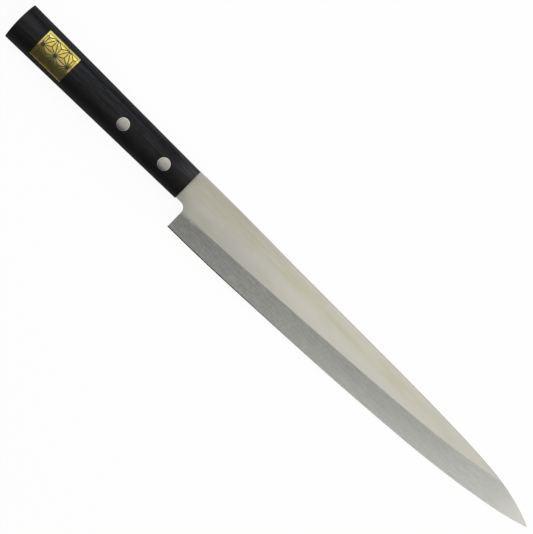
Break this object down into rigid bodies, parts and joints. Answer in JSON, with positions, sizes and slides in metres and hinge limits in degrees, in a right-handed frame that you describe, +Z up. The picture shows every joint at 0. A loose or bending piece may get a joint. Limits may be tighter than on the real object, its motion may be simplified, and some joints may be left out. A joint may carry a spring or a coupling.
{
  "type": "yanagiba knife",
  "caption": "Long slender single-bevel slicing knife with a riveted black wood handle, lying on its flank.",
  "frame": {"origin": "middle of the handle's flat lower flank, on the plane that the knife lies on", "axes": "+X along the knife to the tip, +Y across it to the spine, +Z up through its thickness; the bevelled side faces up"},
  "size_m": [0.3666, 0.0335, 0.0179],
  "materials": {
    "blade_steel": "satin, ground along the flat panel and across the bevel",
    "black_wood": "black laminated wood, sanded and sealed",
    "black_resin": "matte",
    "rivet_metal": "ground flush with the handle",
    "gold_foil": "thin bright gold foil with a printed pattern"
  },
  "bodies": {
    "root": {"blade": "blade_steel", "handle_block": "black_wood", "kerf_filler": "black_resin", "front_rivet_post": "rivet_metal", "front_rivet_sleeve": "rivet_metal", "rear_rivet_post": "rivet_metal", "rear_rivet_sleeve": "rivet_metal", "foil_label": "gold_foil"}
  },
  "joints": []
}
